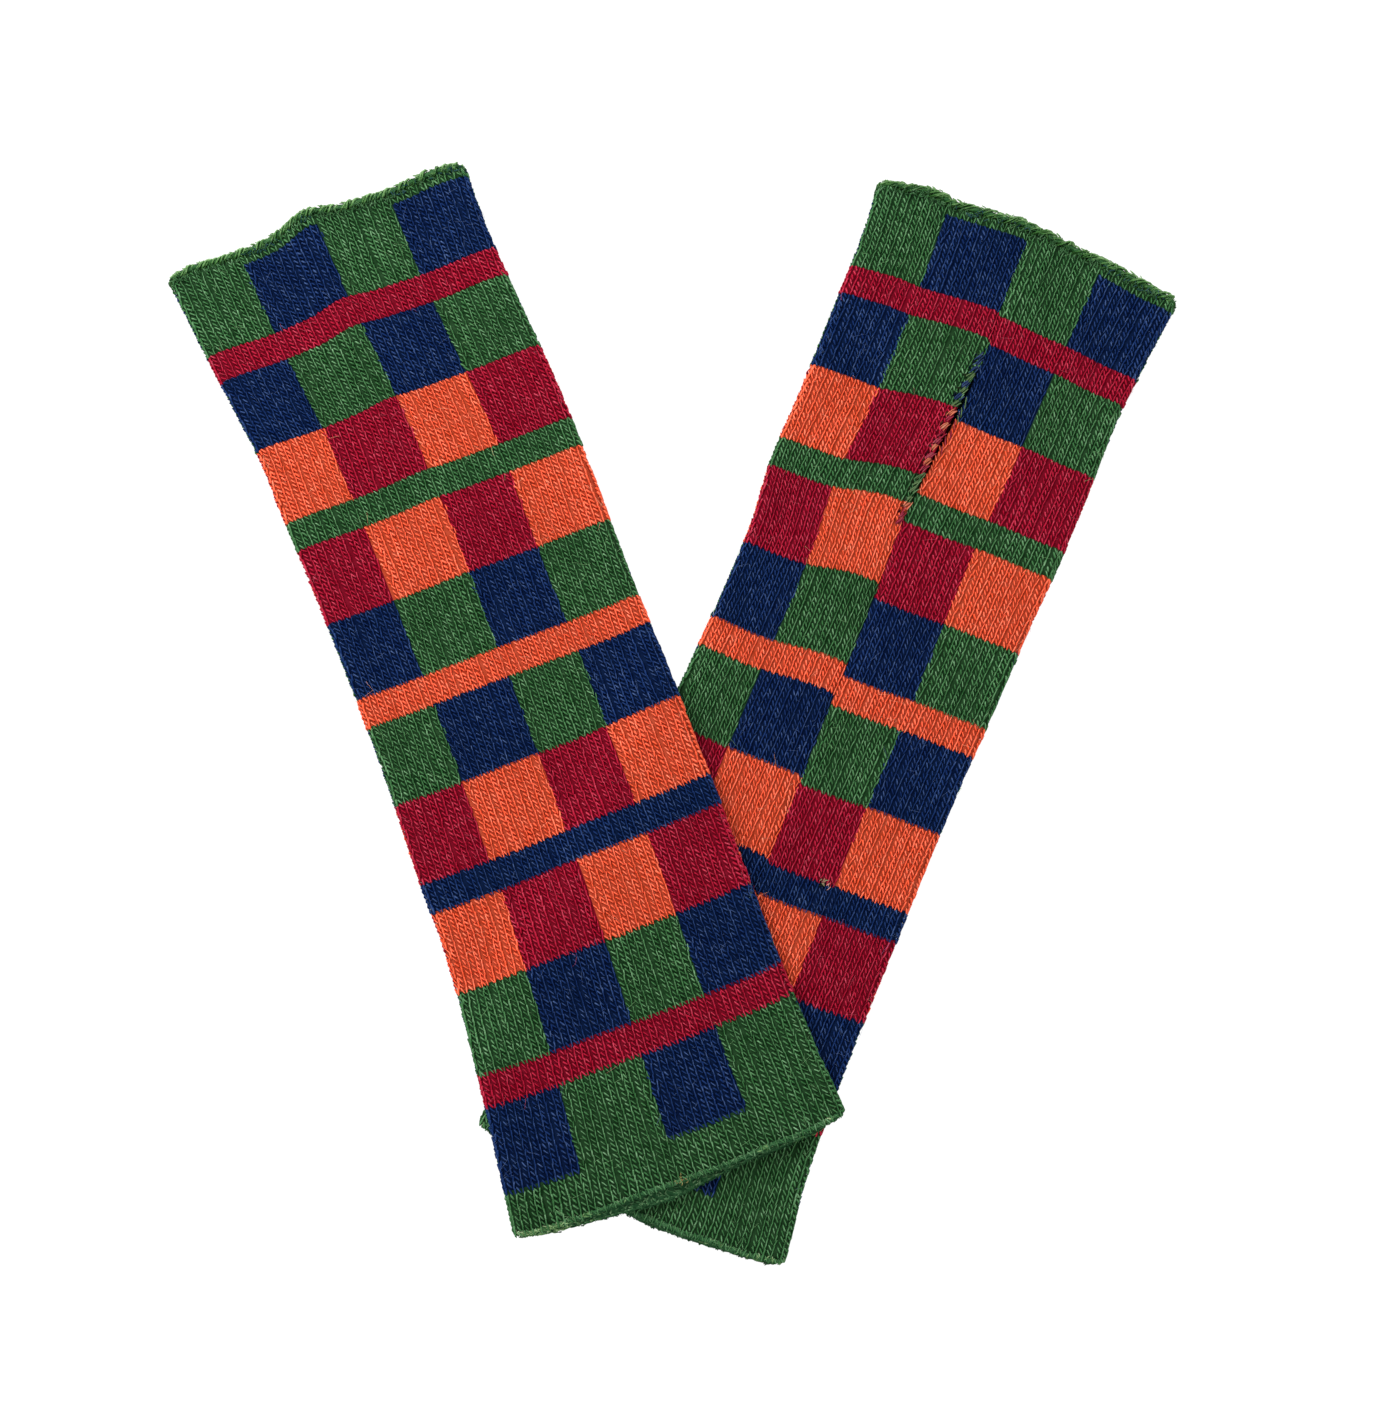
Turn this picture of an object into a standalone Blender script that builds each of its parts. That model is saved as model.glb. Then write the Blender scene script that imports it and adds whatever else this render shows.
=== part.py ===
# A pair of knitted arm warmers laid flat, one lying across the other.
# Each warmer is one knitted panel folded into a flat tube. Its two selvedges meet in a
# seam down the middle of one face, and the seam is left open for the thumb. A linked
# chain finishes the top edge and a firm cast-on cord starts the hem.
# Sizes are in millimetres, and become metres where points are placed.

import math

import bmesh
import bpy

MM = 0.001

# The cloth
WALL = 2.0
LAYER_GAP = 0.5
FOLD_RADIUS = 1.6
PUFF_REACH = 9.0
PIECE_GAP = 0.35

# The edge pieces, measured along the warmer
CHAIN_WIDTH = 3.4
CORD_WIDTH = 2.2
EDGE_ROUNDING = 0.6

# The seam, and the part of it left open for the thumb
SLIT_FROM = 200.5
SLIT_TO = 249.0
SLIT_WIDTH = 2.4
LIP_LIFT = 0.9
LIP_REACH = 9.0

# How the upper warmer clears the lower one's folds and comes down to the surface
DRAPE_OVERHANG = 2.0
DRAPE_REACH = 18.0
SETTLE_REACH = 16.0

# Mesh steps, and the length of the rows beside the edge pieces
END_ROW = 2.2
HALF_FACE_STEPS = 7
FOLD_STEPS = 6

TOP = math.radians(90)
UNDER = math.radians(-90)

# How far each side fold lies from the warmer's straight axis, and the seam's wander
SIDE_COLUMNS = ("along", "left", "right", "seam")
UPPER_SIDES = (
    (0, 47.0, 47.2, 0.0),
    (22, 43.6, 46.2, 1.2),
    (45, 40.6, 45.9, 2.6),
    (80, 37.8, 46.4, 4.3),
    (130, 37.1, 46.7, 4.8),
    (160, 37.2, 46.7, 4.8),
    (190, 38.0, 47.4, 4.7),
    (215, 39.1, 47.4, 4.1),
    (240, 41.2, 46.0, 2.4),
    (265, 44.0, 45.0, 0.5),
    (290, 46.6, 45.6, -0.5),
)
LOWER_SIDES = (
    (0, 44.8, 45.2, 0.2),
    (20, 43.4, 42.5, -0.4),
    (45, 42.2, 41.3, -0.5),
    (80, 41.5, 40.7, -0.4),
    (130, 41.4, 41.1, -0.5),
    (165, 40.7, 41.5, -0.8),
    (200, 43.1, 43.1, -1.8),
    (225, 43.4, 43.5, -0.1),
    (250, 43.9, 43.6, 1.3),
    (270, 44.4, 44.8, 0.6),
    (290, 46.2, 46.6, 0.0),
)

# Where the edges lie along the axis; across runs from -1 at the left fold to 1
END_COLUMNS = ("across", "chain", "hem_top", "hem_under")
UPPER_ENDS = (
    (-1.00, 287.2, 1.0, 0.6),
    (-0.85, 289.0, 0.5, -0.8),
    (-0.60, 288.6, 0.0, -2.8),
    (-0.30, 289.8, -0.7, -4.6),
    (-0.06, 293.3, -1.6, -5.4),
    (0.16, 291.4, -1.7, -4.3),
    (0.35, 290.9, -1.2, -3.0),
    (0.60, 290.9, -0.6, -2.4),
    (0.85, 292.0, -0.5, -1.9),
    (1.00, 289.0, -0.9, -1.2),
)
LOWER_ENDS = (
    (-1.00, 287.0, 0.4, 0.0),
    (-0.88, 292.4, -0.6, -1.6),
    (-0.60, 294.6, -2.0, -3.8),
    (-0.30, 295.0, -3.2, -5.2),
    (0.00, 296.0, -3.8, -5.8),
    (0.30, 294.4, -3.8, -5.9),
    (0.55, 293.6, -3.0, -4.9),
    (0.80, 292.0, -2.0, -3.7),
    (1.00, 289.4, -0.8, -1.4),
)

LOWER = {
    "name": "lower",
    "foot": (-10.85, -135.8),
    "heading": math.radians(-22.9),
    "sides": LOWER_SIDES,
    "ends": LOWER_ENDS,
    "seam_face": TOP,
    "lies_on": None,
    "lengthwise_steps": 22,
}
UPPER = {
    "name": "upper",
    "foot": (2.4, -131.5),
    "heading": math.radians(21.2),
    "sides": UPPER_SIDES,
    "ends": UPPER_ENDS,
    "seam_face": UNDER,
    "lies_on": LOWER,
    "lengthwise_steps": 32,
}

GREEN = (52, 85, 52)
EDGE_GREEN = (44, 78, 46)


def read_table(columns, rows, name, at):
    """A column's value at a place along the table's first column, on a smooth curve."""
    value = columns.index(name)
    at = min(max(at, rows[0][0]), rows[-1][0])
    low = max(i for i in range(len(rows) - 1) if rows[i][0] <= at)
    before = rows[max(low - 1, 0)]
    start, end = rows[low], rows[low + 1]
    after = rows[min(low + 2, len(rows) - 1)]
    span = end[0] - start[0]
    share = (at - start[0]) / span
    leaving = (end[value] - before[value]) / (end[0] - before[0]) * span
    arriving = (after[value] - start[value]) / (after[0] - start[0]) * span
    square, cube = share**2, share**3
    return (
        (2 * cube - 3 * square + 1) * start[value]
        + (cube - 2 * square + share) * leaving
        + (3 * square - 2 * cube) * end[value]
        + (cube - square) * arriving
    )


def side(warmer, name, along):
    return read_table(SIDE_COLUMNS, warmer["sides"], name, along)


def end(warmer, name, across):
    return read_table(END_COLUMNS, warmer["ends"], name, across)


def fading(distance, reach):
    """1 at no distance, easing to 0 at the reach."""
    return 0.5 + 0.5 * math.cos(math.pi * min(max(distance / reach, 0.0), 1.0))


def to_row(warmer, across, along):
    """A place on a warmer's own plane, as a place on the surface that it lies on."""
    cosine, sine = math.cos(warmer["heading"]), math.sin(warmer["heading"])
    x = warmer["foot"][0] + across * cosine - along * sine
    y = warmer["foot"][1] + across * sine + along * cosine
    return x, y


def from_row(warmer, x, y):
    cosine, sine = math.cos(warmer["heading"]), math.sin(warmer["heading"])
    x -= warmer["foot"][0]
    y -= warmer["foot"][1]
    return x * cosine + y * sine, y * cosine - x * sine


def rest_height(warmer, across, along):
    """How high a warmer's underside lies: on the surface, or draped over the one below."""
    below = warmer["lies_on"]
    if below is None:
        return 0.0
    x, y = from_row(below, *to_row(warmer, across, along))
    from_sides = min(x + side(below, "left", y), side(below, "right", y) - x)
    place = x / (side(below, "right", y) if x > 0 else side(below, "left", y))
    from_ends = min(y - end(below, "hem_under", place), end(below, "chain", place) - y)
    outside = math.hypot(min(from_sides, 0), min(from_ends, 0))
    inside = max(min(from_sides, from_ends), 0)
    crest = 2 * FOLD_RADIUS + WALL + PIECE_GAP
    hollow = 2 * FOLD_RADIUS - WALL - LAYER_GAP
    coming_down = fading(outside - DRAPE_OVERHANG, DRAPE_REACH)
    settled = 1 - fading(inside - FOLD_RADIUS - WALL, SETTLE_REACH)
    return crest * coming_down - hollow * settled


def slit_opening(along):
    """0 where the seam is closed, and 1 at the middle of the thumb slit."""
    share = (along - SLIT_FROM) / (SLIT_TO - SLIT_FROM)
    return math.sin(math.pi * min(max(share, 0.0), 1.0)) ** 0.7


def across_axis(warmer, across, along):
    """A place between the two fold centres, in millimetres from the warmer's axis."""
    seam = side(warmer, "seam", along)
    inset = FOLD_RADIUS + WALL / 2
    if across >= 0:
        return seam + across * (side(warmer, "right", along) - inset - seam)
    return seam + across * (side(warmer, "left", along) - inset + seam)


def wall_point(warmer, station, along):
    """The middle of the wall at a station of the section: (across, turn, lip)."""
    across, turn, lip = station
    x = across_axis(warmer, across, along)
    height = WALL / 2 + FOLD_RADIUS * (1 + math.sin(turn))
    if turn == TOP:
        edge = side(warmer, "right" if across > 0 else "left", along)
        from_fold = edge - abs(x) - FOLD_RADIUS
        height -= (2 * FOLD_RADIUS - WALL - LAYER_GAP) * (1 - fading(from_fold, PUFF_REACH))
        if warmer["seam_face"] == TOP and (across < 0 or lip < 0):
            from_seam = side(warmer, "seam", along) - x
            height += LIP_LIFT * slit_opening(along) * fading(from_seam, LIP_REACH)
    x += FOLD_RADIUS * math.cos(turn)
    x += lip * (PIECE_GAP / 2 + SLIT_WIDTH / 2 * slit_opening(along))
    return (x * MM, along * MM, (height + rest_height(warmer, x, along)) * MM)


def section_stations(warmer):
    """The stations once round a section, from one selvedge to the other."""
    first = 1 if warmer["seam_face"] == TOP else -1
    start = warmer["seam_face"]
    opposite = UNDER if start == TOP else TOP
    bend = [math.pi * i / FOLD_STEPS for i in range(1, FOLD_STEPS)]
    half = [math.sin(math.pi / 2 * i / HALF_FACE_STEPS) for i in range(HALF_FACE_STEPS + 1)]
    whole = half[::-1] + [-a for a in half[1:]]
    stations = [(first * a, start, first if a == 0 else 0) for a in half]
    stations += [(first, start - b, 0) for b in bend]
    stations += [(first * a, opposite, 0) for a in whole]
    stations += [(-first, start - math.pi - b, 0) for b in bend]
    stations += [(-first * a, start, -first if a == 0 else 0) for a in half[::-1]]
    return stations


def hem_edge(warmer, across, turn):
    upward = (1 + math.sin(turn)) / 2
    on_top = end(warmer, "hem_top", across)
    under = end(warmer, "hem_under", across)
    return under + (on_top - under) * upward


def chain_edge(warmer, across):
    return end(warmer, "chain", across)


def material(name, colour):
    """A matt wool, from its colour in sRGB steps of 255."""
    made = bpy.data.materials.new(name)
    made.use_nodes = True
    shader = made.node_tree.nodes["Principled BSDF"]
    linear = [((c / 255 + 0.055) / 1.055) ** 2.4 for c in colour]
    shader.inputs["Base Color"].default_value = (*linear, 1)
    shader.inputs["Roughness"].default_value = 0.95
    shader.inputs["Metallic"].default_value = 0.0
    return made


def bent_sheet(name, around, along, closed, place):
    """A grid of cloth with each of its points put in place; closed joins its two sides."""
    mesh = bpy.data.meshes.new(name)
    grid = bmesh.new()
    bmesh.ops.create_grid(grid, x_segments=around, y_segments=along, size=1)
    for point in grid.verts:
        i = round((point.co.x + 1) / 2 * around)
        j = round((point.co.y + 1) / 2 * along)
        point.co = place(i, j)
    if closed:
        bmesh.ops.remove_doubles(grid, verts=grid.verts, dist=1e-6)
    grid.to_mesh(mesh)
    grid.free()
    mesh.shade_smooth()
    return mesh


def add_piece(collection, holder, name, mesh, colour):
    """A cloth piece: a sheet with the wall's thickness, in the warmer's frame."""
    piece = bpy.data.objects.new(name, mesh)
    piece.parent = holder
    collection.objects.link(piece)
    mesh.materials.append(material(name + "_wool", colour))
    shell = piece.modifiers.new("Thickness", "SOLIDIFY")
    shell.thickness = WALL * MM
    shell.offset = 0
    shell.use_even_offset = True
    return piece


def add_panel(collection, holder, warmer):
    """The knitted panel, folded round, with its selvedges a seam's gap apart."""
    stations = section_stations(warmer)
    steps = warmer["lengthwise_steps"]

    def place(i, j):
        across, turn, _ = stations[i]
        low = hem_edge(warmer, across, turn) + CORD_WIDTH + PIECE_GAP
        high = chain_edge(warmer, across) - CHAIN_WIDTH - PIECE_GAP
        inner_low, inner_high = low + END_ROW, high - END_ROW
        along = inner_low + (inner_high - inner_low) * (j - 1) / (steps - 2)
        if j == 0:
            along = low
        elif j == steps:
            along = high
        return wall_point(warmer, stations[i], along)

    mesh = bent_sheet(warmer["name"] + "_panel", len(stations) - 1, steps, False, place)
    add_piece(collection, holder, mesh.name, mesh, GREEN)


def add_edge(collection, holder, warmer, name, width, low_edge):
    """A rounded band that runs all round one end of the tube."""
    stations = section_stations(warmer)
    stations = [(across, turn, 0) for across, turn, _ in stations]

    def place(i, j):
        across, turn, _ = stations[i]
        return wall_point(warmer, stations[i], low_edge(across, turn) + width * j)

    mesh = bent_sheet(warmer["name"] + name, len(stations) - 1, 1, True, place)
    piece = add_piece(collection, holder, mesh.name, mesh, EDGE_GREEN)
    rounding = piece.modifiers.new("Rounding", "BEVEL")
    rounding.width = EDGE_ROUNDING * MM
    rounding.segments = 1
    rounding.limit_method = "ANGLE"
    rounding.angle_limit = math.radians(60)


def add_warmer(collection, warmer):
    holder = bpy.data.objects.new(warmer["name"] + "_warmer", None)
    holder.location = (warmer["foot"][0] * MM, warmer["foot"][1] * MM, 0)
    holder.rotation_euler.z = warmer["heading"]
    collection.objects.link(holder)
    add_panel(collection, holder, warmer)

    def chain_low(across, turn):
        return chain_edge(warmer, across) - CHAIN_WIDTH

    def cord_low(across, turn):
        return hem_edge(warmer, across, turn)

    add_edge(collection, holder, warmer, "_chain", CHAIN_WIDTH, chain_low)
    add_edge(collection, holder, warmer, "_hem_cord", CORD_WIDTH, cord_low)


def main():
    for old in list(bpy.data.objects):
        bpy.data.objects.remove(old)
    collection = bpy.data.collections.new("arm_warmers")
    bpy.context.scene.collection.children.link(collection)
    add_warmer(collection, LOWER)
    add_warmer(collection, UPPER)


main()
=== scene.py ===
import math

import bmesh
import bpy
import numpy as np
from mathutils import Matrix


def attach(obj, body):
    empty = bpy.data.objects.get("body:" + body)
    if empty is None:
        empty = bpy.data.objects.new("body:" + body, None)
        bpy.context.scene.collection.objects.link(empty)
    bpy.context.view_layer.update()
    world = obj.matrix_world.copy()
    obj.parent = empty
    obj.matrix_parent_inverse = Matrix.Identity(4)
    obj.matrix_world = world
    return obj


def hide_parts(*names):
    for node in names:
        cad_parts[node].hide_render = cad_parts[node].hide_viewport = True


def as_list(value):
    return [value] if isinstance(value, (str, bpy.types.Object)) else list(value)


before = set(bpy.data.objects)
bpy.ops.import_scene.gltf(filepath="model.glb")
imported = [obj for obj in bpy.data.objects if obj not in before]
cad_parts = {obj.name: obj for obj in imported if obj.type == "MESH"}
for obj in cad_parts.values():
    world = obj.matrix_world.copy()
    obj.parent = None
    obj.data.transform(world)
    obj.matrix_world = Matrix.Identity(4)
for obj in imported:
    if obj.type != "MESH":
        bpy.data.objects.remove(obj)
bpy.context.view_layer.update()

# A pair of knitted arm warmers, one lying across the other. Sizes are in millimetres
# and become metres where points are placed. A place on the cloth is given in wales
# round the tube from its seam, and in courses up from its hem.

mm = 0.001
scene = bpy.context.scene


# small helpers

def toLinear(hexColour):
    steps = [int(hexColour[i:i + 2], 16) / 255 for i in (1, 3, 5)]
    return [c / 12.92 if c < 0.04045 else ((c + 0.055) / 1.055) ** 2.4 for c in steps] + [1.0]


def setNode(node, settings):
    for name, value in settings.items():
        if isinstance(name, int) or name in node.inputs:
            node.inputs[name].default_value = value
        else:
            setattr(node, name, value)


def addNode(tree, kind, settings=None, links=None):
    made = tree.nodes.new(kind)
    setNode(made, settings or {})
    for name, source in (links or {}).items():
        tree.links.new(source, made.inputs[name])
    return made


def newMaterial(name, settings):
    made = bpy.data.materials.new(name)
    made.use_nodes = True
    setNode(made.node_tree.nodes["Principled BSDF"], settings)
    return made


def addObject(name, data):
    made = bpy.data.objects.new(name, data)
    scene.collection.objects.link(made)
    return made


def fading(distance, reach):
    # 1 at no distance, easing to 0 at the reach
    return 0.5 + 0.5 * np.cos(np.pi * np.clip(distance / reach, 0, 1))


def finishPiece(piece):
    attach(piece, "root")


# camera, floor and light

camera = {"place": (0.00485, -0.1212, 0.6391), "tilt": 10.5, "lens": 60.04, "sensor": 36}
light = {
    "sky": 0.86,
    "lamps": (("softLamp", (-0.42, 0.42, 0.62), 0.55, 6.5),
              ("fillLamp", (0.9, -0.5, 0.9), 1.2, 3.0)),  # name, place, width and watts
}
table = {"halfSize": 4, "drop": 0.00005, "colour": "#606060", "glow": 0.96}

cameraData = bpy.data.cameras.new("camera")
cameraData.lens = camera["lens"]
cameraData.sensor_width = camera["sensor"]
cameraObject = addObject("camera", cameraData)
cameraObject.location = camera["place"]
cameraObject.rotation_euler = (math.radians(camera["tilt"]), 0, 0)
scene.camera = cameraObject

scene.view_settings.view_transform = "Standard"
world = bpy.data.worlds.new("studio")
world.use_nodes = True
setNode(world.node_tree.nodes["Background"], {"Color": (1, 1, 1, 1), "Strength": light["sky"]})
scene.world = world

for name, lampPlace, size, watts in light["lamps"]:
    lamp = bpy.data.lights.new(name, "AREA")
    lamp.shape, lamp.size, lamp.energy = "DISK", size, watts
    made = addObject(name, lamp)
    made.location = lampPlace
    made.rotation_euler = made.location.to_track_quat("Z", "Y").to_euler()

floorMesh = bpy.data.meshes.new("floor")
grid = bmesh.new()
bmesh.ops.create_grid(grid, x_segments=1, y_segments=1, size=table["halfSize"])
grid.to_mesh(floorMesh)
grid.free()
floorPiece = addObject("floor", floorMesh)
floorPiece.location.z = -table["drop"]

# A backlit opal acrylic table: its own light fills most of the shadows.
floorMesh.materials.append(newMaterial("backlit opal acrylic", {
    "Base Color": toLinear(table["colour"]), "Roughness": 1.0, "Specular IOR Level": 0.0,
    "Emission Color": (1, 1, 1, 1), "Emission Strength": table["glow"]}))
print("camera, floor and light are in place")


# The two tubes, as the source shapes them. The wool lets the chains stand up to 4 mm
# higher than the source's at the corners and the hems hang up to 2 mm lower, rounds the
# corners and narrows the thumb slit.

cloth = {
    "wales": 84, "courses": 200, "waleSize": 2.17, "courseSize": 1.43,
    "halfFace": 19.5, "bend": 3.0,  # in wales: half a flat face, and the turn round a fold
    "wall": 2.0, "layerGap": 0.5, "foldRadius": 1.6, "puffReach": 9.0, "pieceGap": 0.35,
    "hemCorner": 2.0, "topCorner": 0.7, "chainWidth": 3.4, "overlap": 0.5,
    "hemEasing": 3, "topEasing": 5,  # powers: how soon an end's uneven line is lost
    "overhang": 2.0, "drapeReach": 18.0, "settleReach": 16.0, "lowest": 0.03,
    "slitFrom": 200.5, "slitTo": 249.0, "slitWidth": 1.0, "slitSkew": 1.5, "slitRound": 0.7,
    "slitReach": 9.4, "lipLift": 0.9, "lipReach": 9.0, "seamSink": 0.35, "seamReach": 1.6,
    "halfWidth": 45.0, "riseFrom": 5.0, "riseReach": 28.0,
    # slow waves in the upper layer: height, length along and across, and phase
    "swayWaves": ((0.20, 9.7, 22, 0.4), (0.17, 5.9, -13, 2.1), (0.13, 15, 4.6, 1.0)),
}
upper = {
    "name": "upper", "foot": (2.4, -131.5), "heading": math.radians(21.2), "seamUp": False,
    "seed": 11, "sway": 1.0, "relief": 1.0,  # how far its cloth waves and its stitches stand
    "sides": (  # along, left, right, seam
        (0, 47.0, 47.2, 0.0), (22, 43.6, 46.2, 1.2), (45, 40.8, 45.9, 2.6), (80, 38.1, 46.4, 4.3),
        (96, 38.1, 46.5, 4.6), (130, 37.1, 46.8, 4.8), (160, 37.2, 46.8, 4.8),
        (190, 38.0, 47.4, 4.7), (215, 39.0, 47.4, 4.1), (227, 39.2, 46.9, 3.4),
        (240, 40.8, 46.1, 2.4), (265, 43.8, 45.0, 0.5), (290, 46.4, 45.4, -0.5)),
    "ends": (  # across, chain, hemTop, hemUnder
        (-1.00, 288.6, 0.0, -0.2), (-0.85, 289.2, -0.8, -1.8), (-0.60, 288.4, -1.5, -3.0),
        (-0.30, 289.5, -1.7, -4.6), (-0.06, 293.1, -2.1, -5.4), (0.16, 291.4, -2.5, -4.4),
        (0.35, 290.9, -2.5, -3.6), (0.60, 290.7, -2.4, -3.5), (0.85, 291.6, -2.2, -3.0),
        (1.00, 291.0, -1.6, -1.7)),
}
lower = {
    "name": "lower", "foot": (-10.85, -135.8), "heading": math.radians(-22.9), "seamUp": True,
    "seed": 23, "sway": 0.8, "relief": 0.85,
    "sides": (
        (0, 44.8, 45.2, 0.2), (20, 43.4, 42.5, -0.4), (45, 42.2, 41.3, -0.5),
        (80, 41.5, 40.9, -0.4), (130, 41.4, 41.1, -0.5), (165, 40.8, 42.1, -0.8),
        (184, 41.2, 42.5, -1.3), (200, 43.1, 43.3, -1.8), (225, 43.2, 43.6, -0.1),
        (250, 43.8, 43.4, 1.3), (270, 44.3, 44.9, 0.6), (290, 46.0, 46.8, 0.0)),
    "ends": (
        (-1.00, 291.8, 0.0, -0.2), (-0.88, 293.2, -1.2, -1.8), (-0.72, 294.5, -2.4, -3.1),
        (-0.55, 293.8, -3.3, -4.2), (-0.30, 294.7, -4.4, -5.3), (0.00, 295.6, -5.1, -6.0),
        (0.30, 294.1, -5.2, -6.2), (0.55, 293.6, -4.4, -5.2), (0.80, 291.9, -3.6, -4.2),
        (1.00, 291.0, -2.4, -2.6)),
    "rises": (  # along, left, right: how far the courses rise towards the seam
        (0, 0.0, 0.0), (60, 0.3, -0.5), (111, 0.6, -1.0), (155, 2.7, -1.0), (202, 4.3, -0.9),
        (226, 3.1, -0.5), (270, 0.8, 0.0), (290, 0.0, 0.0)),
}
upper["liesOn"], lower["liesOn"] = lower, None
sideColumns = ("along", "left", "right", "seam")
riseColumns = ("along", "left", "right")
endColumns = ("across", "chain", "hemTop", "hemUnder")


def readTable(columns, rows, name, at):
    # a column's value at places along the first column, on a smooth curve
    rows = np.array(rows)
    value = rows[:, columns.index(name)]
    key = rows[:, 0]
    at = np.clip(at, key[0], key[-1])
    low = np.clip(np.searchsorted(key, at, side="right") - 1, 0, len(key) - 2)
    before, after = np.maximum(low - 1, 0), np.minimum(low + 2, len(key) - 1)
    span = key[low + 1] - key[low]
    share = (at - key[low]) / span
    leaving = (value[low + 1] - value[before]) / (key[low + 1] - key[before]) * span
    arriving = (value[after] - value[low]) / (key[after] - key[low]) * span
    square, cube = share ** 2, share ** 3
    return ((2 * cube - 3 * square + 1) * value[low] + (cube - 2 * square + share) * leaving
            + (3 * square - 2 * cube) * value[low + 1] + (cube - square) * arriving)


def side(warmer, name, along):
    return readTable(sideColumns, warmer["sides"], name, along)


def end(warmer, name, across):
    return readTable(endColumns, warmer["ends"], name, across)


def toRow(warmer, across, along):
    cosine, sine = math.cos(warmer["heading"]), math.sin(warmer["heading"])
    return (warmer["foot"][0] + across * cosine - along * sine,
            warmer["foot"][1] + across * sine + along * cosine)


def fromRow(warmer, x, y):
    cosine, sine = math.cos(warmer["heading"]), math.sin(warmer["heading"])
    x, y = x - warmer["foot"][0], y - warmer["foot"][1]
    return x * cosine + y * sine, y * cosine - x * sine


def restHeight(warmer, across, along):
    # on the surface, or draped over the warmer below
    below = warmer["liesOn"]
    if below is None:
        return np.zeros_like(across)
    x, y = fromRow(below, *toRow(warmer, across, along))
    left, right = side(below, "left", y), side(below, "right", y)
    fromSides = np.minimum(x + left, right - x)
    place = x / np.where(x > 0, right, left)
    fromEnds = np.minimum(y - end(below, "hemUnder", place), end(below, "chain", place) - y)
    outside = np.hypot(np.minimum(fromSides, 0), np.minimum(fromEnds, 0))
    inside = np.maximum(np.minimum(fromSides, fromEnds), 0)
    radius, wall = cloth["foldRadius"], cloth["wall"]
    crest = 2 * radius + wall + cloth["pieceGap"]
    hollow = 2 * radius - wall - cloth["layerGap"]
    settled = 1 - fading(inside - radius - wall, cloth["settleReach"])
    return crest * fading(outside - cloth["overhang"], cloth["drapeReach"]) - hollow * settled


def slitOpening(along):
    # widest a little above the slit's middle
    share = (along - cloth["slitFrom"]) / (cloth["slitTo"] - cloth["slitFrom"])
    return np.sin(np.pi * np.clip(share, 0, 1) ** cloth["slitSkew"]) ** cloth["slitRound"]


def roundSection(warmer, wale):
    # across runs from -1 at the left fold to 1; turn is the angle round a fold
    first = 1 if warmer["seamUp"] else -1
    start = first * math.pi / 2
    half, bend = cloth["halfFace"], cloth["bend"]
    across = np.piecewise(wale, [wale < half, (wale >= half) & (wale < half + bend),
                                 (wale >= half + bend) & (wale < 3 * half + bend),
                                 (wale >= 3 * half + bend) & (wale < 3 * half + 2 * bend)],
                          [lambda w: w / half, 1.0, lambda w: 1 - (w - half - bend) / half, -1.0,
                           lambda w: -1 + (w - 3 * half - 2 * bend) / half])
    turned = (np.clip(wale - half, 0, bend) + np.clip(wale - 3 * half - bend, 0, bend)) / bend
    return first * across, start - np.pi * turned


def seamSides(wale):
    # whether a wale is in the round's last half, and whether it is on the seam's face
    bySeam = (wale < cloth["halfFace"]) | (wale > cloth["wales"] - cloth["halfFace"])
    return wale > cloth["wales"] / 2, bySeam


def placeAlong(warmer, wale, course, across, turn):
    # the courses run straight across, but for those near an end that isn't
    upward, rounding = (1 + np.sin(turn)) / 2, 1 - np.abs(np.sin(turn))
    hem = end(warmer, "hemUnder", across)
    hem = hem + (end(warmer, "hemTop", across) - hem) * upward + cloth["hemCorner"] * rounding
    top = end(warmer, "chain", across) - cloth["chainWidth"] + cloth["overlap"]
    top = top - cloth["topCorner"] * rounding
    share = course / cloth["courses"]
    evenTop, evenHem = np.mean(warmer["ends"], axis=0)[1:3]
    evenTop = evenTop - cloth["chainWidth"] + cloth["overlap"]
    along = evenHem + (evenTop - evenHem) * share
    along = (along + (hem - evenHem) * (1 - share) ** cloth["hemEasing"]
             + (top - evenTop) * share ** cloth["topEasing"])
    if warmer["seamUp"]:
        lastHalf, bySeam = seamSides(wale)
        rises = [readTable(riseColumns, warmer["rises"], k, along) for k in ("left", "right")]
        away = np.abs(across) * cloth["halfWidth"] - cloth["riseFrom"]
        along = along + bySeam * np.where(lastHalf, *rises) * fading(away, cloth["riseReach"])
    return along


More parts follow.
